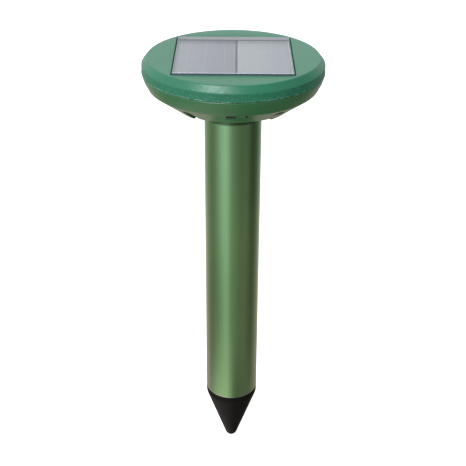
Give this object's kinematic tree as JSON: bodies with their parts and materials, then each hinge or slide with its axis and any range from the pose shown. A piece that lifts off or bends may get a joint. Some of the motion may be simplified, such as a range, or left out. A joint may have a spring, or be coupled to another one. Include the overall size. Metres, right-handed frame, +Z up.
{
  "type": "solar ultrasonic pest repeller",
  "caption": "Garden stake with a round solar head on a green metal tube, with a sounder inside and a pointed ground spike.",
  "frame": {"origin": "tip of the ground spike, on the tube's axis", "axes": "+Z up along the tube's axis, -Y towards the on/off switch, +X to the right seen from the switch side"},
  "size_m": [0.1244, 0.1244, 0.329],
  "materials": {
    "cover_green": "moulded, semi-gloss, finely textured",
    "housing_green": "moulded, satin, finely textured",
    "seal_rubber": "matt",
    "panel_backing": "white laminate",
    "solar_cell": "thin-film cell, lavender grey",
    "panel_window": "clear glass",
    "screw_steel": "zinc plated",
    "contact_metal": "nickel plated",
    "board_laminate": "solder mask",
    "black_plastic": "moulded",
    "knob_plastic": "moulded, ribbed",
    "capacitor_sleeve": "shrink sleeve",
    "ferrite": "sintered",
    "battery_sleeve": "printed-free shrink sleeve",
    "lead_black": "soft insulation",
    "lead_red": "soft insulation",
    "connector_nylon": "moulded nylon",
    "tube_anodised": "satin anodised olive green",
    "cone_paper": "pressed paper",
    "coil_copper": "enamelled wire",
    "spike_black": "moulded, matt"
  },
  "bodies": {
    "spike": {"ground_spike": "spike_black", "spike_seal": "seal_rubber"},
    "tube_assembly": {"tube": "tube_anodised", "tube_collar": "black_plastic", "connector_plug": "connector_nylon", "speaker_lead_lower": "lead_red", "speaker_holder": "black_plastic", "speaker_frame": "screw_steel", "speaker_magnet": "ferrite", "speaker_yoke": "screw_steel", "cone_surround": "seal_rubber"},
    "diaphragm": {"speaker_cone": "cone_paper", "voice_coil": "coil_copper"},
    "neck_ring": {"neck_seal": "seal_rubber"},
    "head": {"top_cover": "cover_green", "lower_housing": "housing_green", "case_gasket": "seal_rubber", "panel_seal": "seal_rubber", "solar_panel_board": "panel_backing", "solar_cell_left": "solar_cell", "solar_cell_right": "solar_cell", "panel_glass": "panel_window", "case_screw_1": "screw_steel", "case_screw_2": "screw_steel", "case_screw_3": "screw_steel", "case_screw_4": "screw_steel", "board_screw_1": "screw_steel", "board_screw_2": "screw_steel", "circuit_board": "board_laminate", "driver_chip": "black_plastic", "storage_capacitor": "capacitor_sleeve", "boost_inductor": "ferrite", "switch_bezel": "black_plastic", "switch_body": "contact_metal", "battery_holder_left": "black_plastic", "battery_left": "battery_sleeve", "battery_plate_left": "contact_metal", "battery_spring_left": "contact_metal", "battery_lead_left_front": "lead_black", "battery_lead_left_back": "lead_red", "battery_holder_right": "black_plastic", "battery_right": "battery_sleeve", "battery_plate_right": "contact_metal", "battery_spring_right": "contact_metal", "battery_lead_right_front": "lead_black", "battery_lead_right_back": "lead_red", "panel_lead": "lead_black", "speaker_lead_upper": "lead_red", "connector_socket": "connector_nylon"},
    "knob": {"switch_knob": "knob_plastic"}
  },
  "joints": [
    {"name": "tube_pull", "type": "slide", "parent": "spike", "child": "tube_assembly", "axis": [0, 0, 1], "range_m": [0, 0.02]},
    {"name": "head_lift", "type": "slide", "parent": "tube_assembly", "child": "neck_ring", "axis": [0, 0, 1], "range_m": [0, 0.009]},
    {"name": "head_turn", "type": "hinge", "parent": "neck_ring", "child": "head", "pos_m": [0, 0, 0.3], "axis": [0, 0, 1], "range_deg": [0, 270]},
    {"name": "switch_slide", "type": "slide", "parent": "head", "child": "knob", "axis": [1, 0, 0], "range_m": [-0.005, 0]},
    {"name": "diaphragm_stroke", "type": "slide", "parent": "tube_assembly", "child": "diaphragm", "axis": [0, 0, 1], "range_m": [-0.0008, 0.0008], "stiffness_N_per_m": 500}
  ],
  "couplings": [
    {"joint": "head_lift", "follows": "head_turn", "m_per_rad": 0.0019098}
  ]
}
